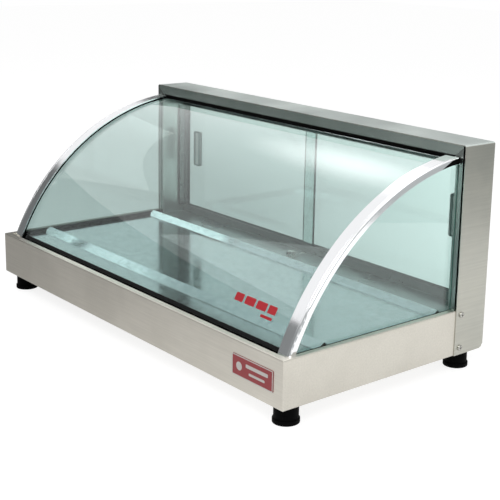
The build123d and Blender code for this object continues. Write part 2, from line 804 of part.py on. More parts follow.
# Sliding doors: the left one runs in the inner groove, the right one in the outer groove
pane_z = (deck_z + track_wall + pane_lift, head_low + pane_head_entry)
door_end_x = doorway_x - jamb_wall - door_side_gap
door_x = {"left": (-door_end_x, door_overlap / 2), "right": (-door_overlap / 2, door_end_x)}
door_groove = {"left": inner_groove, "right": outer_groove}
door_travel = 2 * door_end_x - (door_x["left"][1] - door_x["left"][0])
pull_z = height_z(pull_centre_height)
pull_x = {"left": -door_end_x + pull_inset, "right": door_end_x - pull_inset}
for side in ("left", "right"):
    groove_middle = sum(door_groove[side]) / 2
    pane_y = (groove_middle - glass / 2, groove_middle + glass / 2)
    cutout = Plane(origin=(pull_x[side], pane_y[1], pull_z), x_dir=(-1, 0, 0), z_dir=(0, 1, 0))
    sleeve = (pull_width - 2 * pull_lip, pull_height - 2 * pull_lip)
    with BuildPart() as door:
        slab(door_x[side], pane_y, pane_z)
        with BuildSketch(cutout):
            RectangleRounded(sleeve[0] + face_gap, sleeve[1] + face_gap, pull_corner)
        extrude(amount=-glass, mode=Mode.SUBTRACT)
    save(door, f"door_{side}")
    with BuildPart() as pull:
        for level, thickness in ((0, pull_lip_thickness), (-glass, -pull_lip_thickness)):
            with BuildSketch(cutout.offset(level)):
                RectangleRounded(pull_width, pull_height, pull_corner)
            extrude(amount=thickness)
        with BuildSketch(cutout):
            RectangleRounded(*sleeve, pull_corner)
        extrude(amount=-glass)
        with BuildSketch(cutout.offset(pull_lip_thickness)):
            RectangleRounded(sleeve[0] - 2 * pull_wall, sleeve[1] - 2 * pull_wall, pull_corner - pull_wall)
        extrude(amount=-glass - pull_lip_thickness, mode=Mode.SUBTRACT)
    save(pull, f"door_pull_{side}")

# Badge plate on the front face
with BuildPart() as badge_plate:
    badge_plane = Plane(
        origin=(badge_x, front_y, height_z(badge_centre_height)),
        x_dir=(1, 0, 0),
        z_dir=(0, -1, 0),
    )
    with BuildSketch(badge_plane):
        RectangleRounded(badge_width, badge_height, badge_corner)
    extrude(amount=badge_thickness)
save(badge_plate, "badge_plate")


def rear_plane(x, out=0.0):
    """Plane on the rear wall at a control's place, facing backwards."""
    return Plane(origin=(x, rear_y + out, control_z), x_dir=(-1, 0, 0), z_dir=(0, 1, 0))


# Thermostat: body inside the rear wall, its bush through the wall and a shaft for the knob
thermostat_y = (inner_rear_y - thermostat_size[1], inner_rear_y)
shaft_in = shaft_in_body + sheet
with BuildPart() as thermostat_body:
    body_x = (thermostat_x - thermostat_size[0] / 2, thermostat_x + thermostat_size[0] / 2)
    body_z = (control_z - thermostat_size[2] / 2, control_z + thermostat_size[2] / 2)
    slab(body_x, thermostat_y, body_z)
    with BuildSketch(rear_plane(thermostat_x, -sheet)):
        Circle(bush_diameter / 2)
    extrude(amount=sheet + dial_thickness)
    with BuildSketch(rear_plane(thermostat_x, dial_thickness)):
        Circle(shaft_diameter / 2 + shaft_running_gap)
    extrude(amount=-shaft_in - dial_thickness, mode=Mode.SUBTRACT)
    with BuildSketch(Plane.XZ.offset(-inner_rear_y)):
        with Locations(*thermostat_screw_points):
            Circle((cover_shank + thread_gap) / 2)
    extrude(amount=cover_length, mode=Mode.SUBTRACT)
save(thermostat_body, "thermostat_body")

with BuildPart() as thermostat_dial:
    with BuildSketch(rear_plane(thermostat_x)):
        Circle(dial_diameter / 2)
        Circle((bush_diameter + bush_hole_gap) / 2, mode=Mode.SUBTRACT)
        with Locations((thermostat_screw_spacing / 2, 0), (-thermostat_screw_spacing / 2, 0)):
            Circle((cover_shank + thread_gap) / 2, mode=Mode.SUBTRACT)
    extrude(amount=dial_thickness)
save(thermostat_dial, "thermostat_dial")

with BuildPart() as thermostat_screws:
    dial_screw = pan_screw(cover_head_diameter, cover_head_height, cover_shank, cover_length)
    for x, z in thermostat_screw_points:
        with Locations(Location((x, rear_y + dial_thickness, z), (-90, 0, 0))):
            add(dial_screw)
save(thermostat_screws, "thermostat_screws")

knob_back = dial_thickness + knob_gap
with BuildPart() as thermostat_shaft:
    with BuildSketch(rear_plane(thermostat_x, -shaft_in + face_gap)):
        Circle(shaft_diameter / 2)
    extrude(amount=shaft_in - face_gap + knob_back + shaft_out)
    flat_x = (thermostat_x - shaft_diameter, thermostat_x + shaft_diameter)
    flat_y = (rear_y + knob_back, rear_y + knob_back + shaft_out)
    flat_z = (control_z + shaft_diameter / 2 - shaft_flat, control_z + shaft_diameter)
    slab(flat_x, flat_y, flat_z, Mode.SUBTRACT)
save(thermostat_shaft, "thermostat_shaft")

# Knob: round skirt with a straight grip bar, hollow at the back round its boss
with BuildPart() as thermostat_knob:
    skirt_height = knob_length - knob_grip_height
    with BuildSketch(rear_plane(thermostat_x, knob_back)):
        Circle(knob_diameter / 2)
    extrude(amount=skirt_height)
    fillet(thermostat_knob.edges().group_by(Axis.Y)[-1], knob_skirt_radius)
    with BuildSketch(rear_plane(thermostat_x, knob_back)):
        SlotOverall(knob_diameter - 2 * knob_grip_inset, knob_grip_width, rotation=90)
    extrude(amount=knob_length)
    fillet(thermostat_knob.edges().group_by(Axis.Y)[-1], knob_grip_radius)
    with BuildSketch(rear_plane(thermostat_x, knob_back)):
        Circle(knob_recess_diameter / 2)
        Circle(knob_boss_diameter / 2, mode=Mode.SUBTRACT)
    extrude(amount=knob_recess_depth, mode=Mode.SUBTRACT)
    add(thermostat_shaft.part, mode=Mode.SUBTRACT)
save(thermostat_knob, "thermostat_knob")

# Pilot lamp
with BuildPart() as pilot_lamp_body:
    with BuildSketch(rear_plane(lamp_x)):
        Circle(lamp_bezel_diameter / 2)
    extrude(amount=lamp_bezel_height)
    with BuildSketch(rear_plane(lamp_x)):
        Circle(lamp_body_diameter / 2)
    extrude(amount=-lamp_body_length)
    with BuildSketch(rear_plane(lamp_x, lamp_seat)):
        Circle(lamp_lens_diameter / 2)
    extrude(amount=lamp_bezel_height, mode=Mode.SUBTRACT)
save(pilot_lamp_body, "pilot_lamp_body")

with BuildPart() as pilot_lamp_lens:
    with BuildSketch(rear_plane(lamp_x, lamp_seat)):
        Circle(lamp_lens_diameter / 2)
    extrude(amount=lamp_lens_height)
    fillet(pilot_lamp_lens.edges().group_by(Axis.Y)[-1], lamp_lens_radius)
save(pilot_lamp_lens, "pilot_lamp_lens")

# Cord gland: threaded body with a domed cap outside and a nut inside, its bore left open
with BuildPart() as cord_gland:
    with BuildSketch(rear_plane(gland_x)):
        Circle(gland_cap_diameter / 2)
    extrude(amount=gland_cap_length)
    fillet(cord_gland.edges().group_by(Axis.Y)[-1], gland_cap_radius)
    with BuildSketch(rear_plane(gland_x)):
        Circle(gland_thread_diameter / 2)
    extrude(amount=-gland_thread_length)
    with BuildSketch(rear_plane(gland_x, gland_cap_length)):
        Circle(gland_bore / 2)
    extrude(amount=-gland_cap_length - gland_thread_length, mode=Mode.SUBTRACT)
save(cord_gland, "cord_gland")

with BuildPart() as gland_nut:
    with BuildSketch(rear_plane(gland_x, -sheet)):
        RegularPolygon(gland_nut_width / 2, 6, major_radius=False)
        Circle((gland_thread_diameter + thread_gap) / 2, mode=Mode.SUBTRACT)
    extrude(amount=-gland_nut_height)
save(gland_nut, "gland_nut")

# Heating element: hairpin tube under the deck, with a ceramic collar and a pin at each end
element_z = height_z(element_height)
leg_y = (depth_y(element_front), depth_y(element_rear))
hairpin_radius = (leg_y[1] - leg_y[0]) / 2
turn_x = -element_half_length + hairpin_radius
with BuildPart() as heating_element:
    with BuildLine() as element_path:
        Line((element_half_length, leg_y[0], element_z), (turn_x, leg_y[0], element_z))
        ThreePointArc(
            (turn_x, leg_y[0], element_z),
            (-element_half_length, (leg_y[0] + leg_y[1]) / 2, element_z),
            (turn_x, leg_y[1], element_z),
        )
        Line((turn_x, leg_y[1], element_z), (element_half_length, leg_y[1], element_z))
    with BuildSketch(Plane(origin=(element_half_length, leg_y[0], element_z), z_dir=(-1, 0, 0))):
        Circle(element_diameter / 2)
    sweep()
save(heating_element, "heating_element")

with BuildPart() as element_terminals:
    for y in leg_y:
        with BuildSketch(Plane(origin=(element_half_length, y, element_z), z_dir=(1, 0, 0))):
            Circle(collar_diameter / 2)
        extrude(amount=collar_length)
        pin_x = element_half_length + collar_length
        with BuildSketch(Plane(origin=(pin_x, y, element_z), z_dir=(1, 0, 0))):
            Circle(pin_diameter / 2)
        extrude(amount=pin_length)
save(element_terminals, "element_terminals")

# Brackets: angle strips welded under the deck, each holding both legs of the element
with BuildPart() as element_brackets:
    bracket_y = (leg_y[0] - bracket_overhang, leg_y[1] + bracket_overhang)
    deck_under_z = deck_z - sheet
    for side in (-1, 1):
        web_x = (side * bracket_x - bracket_thickness / 2, side * bracket_x + bracket_thickness / 2)
        slab(web_x, bracket_y, (deck_under_z - bracket_drop, deck_under_z))
        flange_z = (deck_under_z - bracket_thickness, deck_under_z)
        slab((web_x[0], web_x[0] + bracket_flange), bracket_y, flange_z)
    for y in leg_y:
        with Locations(Location((0, y, element_z), (0, 90, 0))):
            Cylinder(element_diameter / 2 + bracket_hole_gap, base_width, mode=Mode.SUBTRACT)
save(element_brackets, "element_brackets")

# Terminal block under the deck, with three screw wells in its lower face
block_x = half_width - terminal_block_inset[0]
block_y = rear_y - terminal_block_inset[1]
with BuildPart() as terminal_block:
    half_x, half_y = terminal_block_size[0] / 2, terminal_block_size[1] / 2
    block_z = (deck_under_z - terminal_block_size[2], deck_under_z)
    slab((block_x - half_x, block_x + half_x), (block_y - half_y, block_y + half_y), block_z)
    chamfer(terminal_block.edges().filter_by(Axis.X).group_by(Axis.Z)[0], terminal_block_bevel)
    with BuildSketch(Plane.XY.offset(block_z[0])):
        with Locations((block_x, block_y)):
            with GridLocations(terminal_pitch, terminal_row_pitch, 3, 2):
                Circle(terminal_well_diameter / 2)
    extrude(amount=terminal_well_depth, mode=Mode.SUBTRACT)
save(terminal_block, "terminal_block")

# Sensor: clip on the deck over the bulb, and the capillary down to the thermostat
with BuildPart() as sensor_clip:
    clip_x = (sensor_x - clip_width / 2, sensor_x + clip_width / 2)
    clip_front_y = portal_y + sensor_set_back
    clip_y = (clip_front_y, clip_front_y + clip_length)
    slab(clip_x, clip_y, (deck_z, deck_z + clip_height))
    hollow_x = (clip_x[0] + clip_sheet, clip_x[1] - clip_sheet)
    slab(hollow_x, clip_y, (deck_z, deck_z + clip_height - clip_sheet), Mode.SUBTRACT)
save(sensor_clip, "sensor_clip")

bulb_z = deck_z + bulb_diameter / 2
bulb_y = clip_front_y + clip_length + 2 * clip_sheet
drop_y = rear_y - capillary_drop_inset
with BuildPart() as sensor_bulb:
    with BuildSketch(Plane(origin=(sensor_x, bulb_y, bulb_z), z_dir=(0, -1, 0))):
        Circle(bulb_diameter / 2)
    extrude(amount=bulb_length)
    with BuildLine() as capillary:
        FilletPolyline(
            (sensor_x, bulb_y, bulb_z),
            (sensor_x, drop_y, bulb_z),
            (sensor_x, drop_y, height_z(capillary_height)),
            (thermostat_x - thermostat_size[0] / 2, drop_y, height_z(capillary_height)),
            radius=capillary_radius,
        )
    with BuildSketch(Plane(origin=(sensor_x, bulb_y, bulb_z), z_dir=(0, 1, 0))):
        Circle(capillary_diameter / 2)
    sweep(path=capillary.line)
save(sensor_bulb, "sensor_bulb")

# Leads: each runs from one terminal to the next along straight stretches and round bends
pin_end_x = element_half_length + collar_length + pin_length
block_front = block_y - terminal_block_size[1] / 2
block_mid_z = deck_under_z - terminal_block_size[2] / 2
thermostat_front = thermostat_y[0]
loop_x = pin_end_x + lead_loop_reach
inner_loop_x = pin_end_x + lead_inner_loop_reach
block_lead_x = [block_x + offset for offset in block_lead_offsets]
thermostat_lead_x = [thermostat_x + offset for offset in thermostat_lead_offsets]
thermostat_lead_z = [height_z(height) for height in thermostat_lead_heights]
lead_routes = {
    "to rear element pin": [
        (block_lead_x[0], block_front, block_mid_z),
        (block_lead_x[0], block_front - lead_exit_run, block_mid_z),
        (inner_loop_x, block_front - lead_exit_run, element_z + lead_loop_rise),
        (inner_loop_x, leg_y[1], element_z),
        (pin_end_x, leg_y[1], element_z),
    ],
    "to front element pin": [
        (thermostat_lead_x[0], thermostat_front, thermostat_lead_z[0]),
        (thermostat_lead_x[0], thermostat_front - lead_long_run, thermostat_lead_z[0]),
        (loop_x, thermostat_front - lead_long_run - lead_loop_lead_in, thermostat_lead_z[0]),
        (loop_x, leg_y[0], element_z),
        (pin_end_x, leg_y[0], element_z),
    ],
    "block to thermostat": [
        (block_lead_x[1], block_front, block_mid_z),
        (block_lead_x[1], block_front - lead_short_run, block_mid_z),
        (thermostat_lead_x[1], block_front - lead_short_run, thermostat_lead_z[1]),
        (thermostat_lead_x[1], thermostat_front, thermostat_lead_z[1]),
    ],
    "block to lamp": [
        (block_lead_x[2], block_front, block_mid_z),
        (block_lead_x[2], block_front - lead_lamp_run, block_mid_z),
        (lamp_x, block_front - lead_lamp_run, control_z),
        (lamp_x, rear_y - lamp_body_length, control_z),
    ],
}
lead_lengths = {}
with BuildPart() as leads:
    for name, route in lead_routes.items():
        with BuildLine() as lead_path:
            FilletPolyline(*route, radius=lead_radius)
        lead_lengths[name] = sum(edge.length for edge in lead_path.edges())
        with BuildSketch(Plane(origin=route[0], z_dir=lead_path.line % 0)):
            Circle(lead_diameter / 2)
        sweep(path=lead_path.line)
save(leads, "leads")

swept = math.pi * (lead_diameter / 2) ** 2 * sum(lead_lengths.values())
print("lead lengths", {name: round(length, 1) for name, length in lead_lengths.items()})
print("lead volume", round(leads.part.volume, 1), "section times length", round(swept, 1))
print("door travel", door_travel)
print("bend axis depth and height", round(axis_yz.X - front_y, 2), round(axis_yz.Y - base_z, 2))
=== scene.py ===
# %% [markdown]
# # A curved countertop display case
# The real case is folded stainless steel below and behind, bent glass in front, flat glass at
# both sides and two sliding glass doors at the back. The solids arrive finished, at their real
# size, so this file only dresses them: a studio, a camera, one finish for each material, and
# the small printed or pressed details that a solid model leaves out.

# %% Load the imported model
import math

import bmesh
import bpy
from mathutils import Matrix, Vector


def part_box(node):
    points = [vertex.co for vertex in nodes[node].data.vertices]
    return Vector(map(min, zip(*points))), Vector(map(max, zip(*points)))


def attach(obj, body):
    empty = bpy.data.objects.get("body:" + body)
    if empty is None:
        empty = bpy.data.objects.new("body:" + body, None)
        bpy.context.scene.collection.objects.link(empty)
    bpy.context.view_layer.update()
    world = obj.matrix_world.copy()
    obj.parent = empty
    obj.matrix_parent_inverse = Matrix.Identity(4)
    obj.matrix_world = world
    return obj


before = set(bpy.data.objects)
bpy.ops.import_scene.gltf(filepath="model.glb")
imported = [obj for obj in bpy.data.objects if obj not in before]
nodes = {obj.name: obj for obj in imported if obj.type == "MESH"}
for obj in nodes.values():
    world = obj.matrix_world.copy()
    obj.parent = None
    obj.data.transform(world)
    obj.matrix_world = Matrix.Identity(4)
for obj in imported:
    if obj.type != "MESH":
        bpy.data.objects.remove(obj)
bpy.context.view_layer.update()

mm = 0.001

# %% [markdown]
# ## The camera
# A photograph fixes where it was taken from. Turning the case until its corners fall on the
# corners in the picture gives a direction, a distance and a slight roll. The picture is a crop,
# so the lens also needs a shift: without one, the upright edges would lean the wrong way.

# %% Camera
picture_size = 500
sensor_width = 36.0
focal_pixels = 1104.2
centre_pixel = (311.5, 199.6)
camera_azimuth = math.radians(48.4)
camera_elevation = math.radians(13.1)
camera_roll = math.radians(1.6)
camera_place = Vector((1.2567, -0.95415, 0.5565))


def camera_axes():
    """Right, up and backward directions of the camera, its roll included."""
    level = math.cos(camera_elevation)
    back = Vector((
        math.sin(camera_azimuth) * level,
        -math.cos(camera_azimuth) * level,
        math.sin(camera_elevation),
    ))
    right = Vector((0, 0, 1)).cross(back).normalized()
    up = back.cross(right)
    turn = Matrix.Rotation(camera_roll, 3, back)
    return turn @ right, turn @ up, back


camera_data = bpy.data.cameras.new("camera")
camera_data.sensor_width = sensor_width
camera_data.lens = focal_pixels / picture_size * sensor_width
camera_data.shift_x = (picture_size / 2 - centre_pixel[0]) / picture_size
camera_data.shift_y = (centre_pixel[1] - picture_size / 2) / picture_size
camera = bpy.data.objects.new("camera", camera_data)
bpy.context.scene.collection.objects.link(camera)
axes = Matrix(camera_axes()).transposed()
camera.matrix_world = Matrix.Translation(camera_place) @ axes.to_4x4()
bpy.context.scene.camera = camera
bpy.context.scene.view_settings.view_transform = "Standard"
print("lens", round(camera_data.lens, 2), "shift", camera_data.shift_x, camera_data.shift_y)

# %% [markdown]
# ## Helpers for materials
# Colours are written as a screen shows them and turned to linear light by one function. One
# more function adds a shader node with its settings and its links. Every pattern is scaled from
# a real size in millimetres.

# %% Colour and node helpers
def linear(hex_colour):
    """Linear RGBA of a colour written as sRGB hex."""
    shown = [int(hex_colour[i:i + 2], 16) / 255 for i in (1, 3, 5)]
    return tuple(
        c / 12.92 if c <= 0.04045 else ((c + 0.055) / 1.055) ** 2.4 for c in shown
    ) + (1.0,)


def add_node(tree, kind, sockets=None, **settings):
    """Add one node with its settings. A socket takes a plain value or another node's output."""
    node = tree.nodes.new(kind)
    for name, value in settings.items():
        setattr(node, name, value)
    for name, value in (sockets or {}).items():
        if isinstance(value, bpy.types.NodeSocket):
            tree.links.new(value, node.inputs[name])
        else:
            node.inputs[name].default_value = value
    return node


def per_metre(millimetres):
    """Texture scale at which one feature is that many millimetres wide."""
    return 1000.0 / millimetres


def new_material(name):
    """Empty node material; returns it with its tree."""
    material = bpy.data.materials.new(name)
    material.use_nodes = True
    material.node_tree.nodes.clear()
    return material, material.node_tree


def close_material(tree, surface):
    """Send a shader to the output."""
    output = add_node(tree, "ShaderNodeOutputMaterial")
    tree.links.new(surface, output.inputs["Surface"])


# %% [markdown]
# ## The studio
# A product picture on white: the floor and the world are white where the camera looks. Bounced
# light sees the floor as pale paint, lit from the right by the lamps, that takes the shadow of
# the case. Mirrors and glass see that paint with a painted slope of light on top of it. Far from
# the table a studio is dimmer, so a low grey wall stands round the case. Only reflections see
# it, and it gives the upright steel its darker upper part.

# %% World
world = bpy.data.worlds.new("studio")
bpy.context.scene.world = world
world.use_nodes = True
world_tree = world.node_tree
world_tree.nodes.clear()
seen_strength = 1.0
ambient_strength = 0.55


def seen_directly(tree):
    """1 for rays of the camera, of mirrors and through glass, 0 for rays that light things."""
    path = add_node(tree, "ShaderNodeLightPath")
    pair = add_node(tree, "ShaderNodeMath", {
        0: path.outputs["Is Camera Ray"],
        1: path.outputs["Is Glossy Ray"],
    }, operation="MAXIMUM")
    return add_node(tree, "ShaderNodeMath", {
        0: pair.outputs[0],
        1: path.outputs["Is Transmission Ray"],
    }, operation="MAXIMUM").outputs[0]


world_strength = add_node(world_tree, "ShaderNodeMapRange", {
    "Value": seen_directly(world_tree),
    "To Min": ambient_strength,
    "To Max": seen_strength,
})
background = add_node(world_tree, "ShaderNodeBackground", {
    "Color": (1.0, 1.0, 1.0, 1.0),
    "Strength": world_strength.outputs[0],
})
world_output = add_node(world_tree, "ShaderNodeOutputWorld")
world_tree.links.new(background.outputs[0], world_output.inputs["Surface"])
print("world", seen_strength, "seen,", ambient_strength, "as light")

# %% [markdown]
# ## The table
# The case stands on a white painted table. One even white would do for the camera, but steel and
# glass would then mirror the same white everywhere and look flat. So the paint glows by kind of
# ray: even white for the camera, which keeps the shadow, and a painted slope of light and shade
# for mirrors and for what shows through the panes, as if a window lit the table from the right.

# %% Floor paint, with painted light for mirrors and glass
floor_size = 14.0
shadow_paint = 0.3
white_glow = 0.82
true_paint = 0.45
floor_paint, tree = new_material("white_table_paint")
path = add_node(tree, "ShaderNodeLightPath")
floor_place = add_node(tree, "ShaderNodeNewGeometry").outputs["Position"]


def sloping_glow(place, level, slope, lowest, flag):
    """Painted light: a glow that rises along the floor by a slope per metre, for one kind of ray."""
    rise = add_node(tree, "ShaderNodeVectorMath", {0: place, 1: slope + (0.0,)},
                    operation="DOT_PRODUCT")
    total = add_node(tree, "ShaderNodeMath", {0: rise.outputs["Value"], 1: level})
    kept = add_node(tree, "ShaderNodeMath", {0: total.outputs[0], 1: lowest}, operation="MAXIMUM")
    return add_node(tree, "ShaderNodeMath", {
        0: kept.outputs[0], 1: path.outputs[flag],
    }, operation="MULTIPLY").outputs[0]


# Painted light on the floor, for mirror rays and for rays through the panes; no lamp makes this slope.
mirror_level, mirror_slope, mirror_lowest = 0.32, (0.65, 0.08), 0.03
glass_level, glass_slope, glass_lowest = -0.05, (-0.3, 1.0), 0.27
away = add_node(tree, "ShaderNodeVectorMath", {0: floor_place}, operation="ABSOLUTE").outputs[0]
painted_light_in_mirrors = sloping_glow(floor_place, mirror_level, mirror_slope, mirror_lowest, "Is Glossy Ray")
painted_light_through_glass = sloping_glow(away, glass_level, glass_slope, glass_lowest, "Is Transmission Ray")
paint = add_node(tree, "ShaderNodeBsdfDiffuse", {"Color": (true_paint,) * 3 + (1.0,)})
glow = add_node(tree, "ShaderNodeEmission", {
    "Color": (1.0, 1.0, 1.0, 1.0),
    "Strength": add_node(tree, "ShaderNodeMath", {0: painted_light_in_mirrors, 1: painted_light_through_glass}).outputs[0],
})
for_others = add_node(tree, "ShaderNodeAddShader", {0: paint.outputs[0], 1: glow.outputs[0]})
matt = add_node(tree, "ShaderNodeBsdfDiffuse", {"Color": (shadow_paint,) * 3 + (1.0,)})
white = add_node(tree, "ShaderNodeEmission", {
    "Color": (1.0, 1.0, 1.0, 1.0), "Strength": white_glow,
})
for_camera = add_node(tree, "ShaderNodeAddShader", {0: matt.outputs[0], 1: white.outputs[0]})
floor_surface = add_node(tree, "ShaderNodeMixShader", {
    0: path.outputs["Is Camera Ray"], 1: for_others.outputs[0], 2: for_camera.outputs[0],
})
close_material(tree, floor_surface.outputs[0])


def stage_object(name, mesh, material):
    """Object that belongs to the studio and not to the case."""
    mesh.materials.append(material)
    piece = bpy.data.objects.new(name, mesh)
    bpy.context.scene.collection.objects.link(piece)
    return piece


half_floor = floor_size / 2
floor_mesh = bpy.data.meshes.new("floor")
floor_mesh.from_pydata([
    (-half_floor, -half_floor, 0), (half_floor, -half_floor, 0),
    (half_floor, half_floor, 0), (-half_floor, half_floor, 0),
], [], [(0, 1, 2, 3)])
stage_object("floor", floor_mesh, floor_paint)
print("floor", floor_size, "m")

# %% [markdown]
# ## The wall
# Away from its table a studio is darker, and brushed steel shows that as a darker upper part. A
# whole room could be built, but a low grey ring that only mirrors see gives the same picture and
# keeps no lamp from the case. Its glow is painted lighter towards the right, as if a window stood
# there: painted light on the wall.

# %% Grey wall that only mirrors see
wall_distance = 1.15
wall_height = 0.62
wall_painted_shade_side, wall_painted_light_side = 0.16, 0.58
wall_paint, tree = new_material("grey_studio_wall")
wall_place = add_node(tree, "ShaderNodeSeparateXYZ", {
    0: add_node(tree, "ShaderNodeNewGeometry").outputs["Position"],
})
# Painted light: the wall's glow rises from left to right.
wall_tone = add_node(tree, "ShaderNodeMapRange", {
    "Value": wall_place.outputs["X"], "From Min": -wall_distance, "From Max": wall_distance,
    "To Min": wall_painted_shade_side, "To Max": wall_painted_light_side,
})
wall_grey = add_node(tree, "ShaderNodeEmission", {
    "Color": linear("#F4F8F8"), "Strength": wall_tone.outputs[0],
})
close_material(tree, wall_grey.outputs[0])
wall_sides = 48
ring = [
    (wall_distance * math.cos(2 * math.pi * i / wall_sides),
     wall_distance * math.sin(2 * math.pi * i / wall_sides))
    for i in range(wall_sides)
]
wall_mesh = bpy.data.meshes.new("studio_wall")
wall_mesh.from_pydata(
    [(x, y, 0) for x, y in ring] + [(x, y, wall_height) for x, y in ring],
    [],
    [(i, (i + 1) % wall_sides, wall_sides + (i + 1) % wall_sides, wall_sides + i)
     for i in range(wall_sides)],
)
wall = stage_object("studio_wall", wall_mesh, wall_paint)
wall.visible_camera = False
wall.visible_diffuse = False
wall.visible_transmission = False
wall.visible_shadow = False
print("wall", wall_distance, "m away")

# %% [markdown]
# ## Two cards
# Photographers hold white cards beside shiny things to draw light on them. One stands to the
# left, where the rear ridge of the plate mirrors it through the side glass. The other hangs above
# and behind, and leaves a soft patch high on the bent glass. It fades towards its rim, so no edge
# shows. Lamps could do the same, but a card that only some rays see lights nothing else.

# %% Window card that gives the plate's rear ridge its white line
card_low, card_high = 0.50, 0.775
card_x, card_near_y, card_far_y = -0.95, -0.3, 0.25
card_strength = 2.2
card_paint, tree = new_material("window_card")
card_light = add_node(tree, "ShaderNodeEmission", {
    "Color": (1.0, 1.0, 1.0, 1.0), "Strength": card_strength,
})
close_material(tree, card_light.outputs[0])
card_mesh = bpy.data.meshes.new("window_card")
card_mesh.from_pydata([
    (card_x, card_near_y, card_low), (card_x, card_far_y, card_low),
    (card_x, card_far_y, card_high), (card_x, card_near_y, card_high),
], [], [(0, 1, 2, 3)])
card = stage_object("window_card", card_mesh, card_paint)
card.visible_camera = False
card.visible_glossy = False
card.visible_diffuse = False
card.visible_shadow = False
print("card", card_strength, "times white")

# %% Skylight card that leaves a soft highlight high on the bent glass
sky_middle = Vector((-0.84, 0.625, 1.16))
sky_aim = Vector((0.25, 0.1, 0.28))
sky_reach = 0.34
sky_strength = 3.0
sky_paint, tree = new_material("skylight_card")
sky_place = add_node(tree, "ShaderNodeNewGeometry").outputs["Position"]
from_middle = add_node(tree, "ShaderNodeVectorMath", {
    0: sky_place, 1: tuple(sky_middle),
}, operation="DISTANCE")
sky_fade = add_node(tree, "ShaderNodeMapRange", {
    "Value": from_middle.outputs["Value"], "From Min": 0.0, "From Max": sky_reach,
    "To Min": sky_strength, "To Max": 0.0,
}, interpolation_type="SMOOTHSTEP")
sky_light = add_node(tree, "ShaderNodeEmission", {
    "Color": (1.0, 1.0, 1.0, 1.0), "Strength": sky_fade.outputs[0],
})
sky_clear = add_node(tree, "ShaderNodeBsdfTransparent")
sky_surface = add_node(tree, "ShaderNodeAddShader", {0: sky_light.outputs[0], 1: sky_clear.outputs[0]})
close_material(tree, sky_surface.outputs[0])
sky_turn = (sky_aim - sky_middle).to_track_quat("Z", "Y").to_matrix()
sky_mesh = bpy.data.meshes.new("skylight_card")
sky_mesh.from_pydata([
    sky_middle + sky_turn @ Vector((u * sky_reach, v * sky_reach, 0))
    for u, v in ((-1, -1), (1, -1), (1, 1), (-1, 1))
], [], [(0, 1, 2, 3)])
sky = stage_object("skylight_card", sky_mesh, sky_paint)
sky.visible_camera = False
sky.visible_diffuse = False
sky.visible_transmission = False
sky.visible_shadow = False
print("skylight", sky_strength, "times white")

# %% [markdown]
# ## The lamps
# Three large soft lamps light the case: a key from the front right, a weaker fill from the left
# and one above. The sky alone could light it, but then the shadow would be too faint. The fill
# stays out of reflections, because the bent glass would mirror its hard outline over the plate.

# %% Softboxes
def softbox(name, place, aim, size, power):
    """Area lamp at a place, aimed at a point."""
    data = bpy.data.lights.new(name, "AREA")
    data.shape = "RECTANGLE"
    data.size, data.size_y = size
    data.energy = power
    lamp = bpy.data.objects.new(name, data)
    bpy.context.scene.collection.objects.link(lamp)
    lamp.location = place
    lamp.rotation_mode = "QUATERNION"
    lamp.rotation_quaternion = (Vector(aim) - Vector(place)).to_track_quat("-Z", "Y")
    return lamp


case_centre = (0, 0, 0.15)
side_lamp_size, top_lamp_size = (1.2, 1.0), (1.6, 1.2)
key_watts, fill_watts, top_watts = 20, 7, 10
softbox("key_softbox", (1.5, -1.2, 1.7), case_centre, side_lamp_size, key_watts)
fill = softbox("fill_softbox", (-1.3, -1.3, 1.6), case_centre, side_lamp_size, fill_watts)
fill.visible_glossy = False
softbox("top_softbox", (0.2, 0.3, 2.2), case_centre, top_lamp_size, top_watts)
print("softboxes placed")

# %% [markdown]
# ## Brushed stainless steel
# The folded sheets are 304 stainless with a satin brushed face: a long fine grain along the
# sheet, a slightly warm grey, and cloudy marks where it has been wiped. It could be one flat
# grey metal, but then large faces look like plastic, so the grain and the clouds drive colour,
# roughness and a very shallow bump. Real grain is about 0.2 mm wide, too fine to show from here,
# so it is drawn 2.2 mm wide. The portal's skin is painted lighter and cooler on top, where it
# faces the open sky: a painted reflection of the sky. Its top and sides are also brushed in
# different directions.

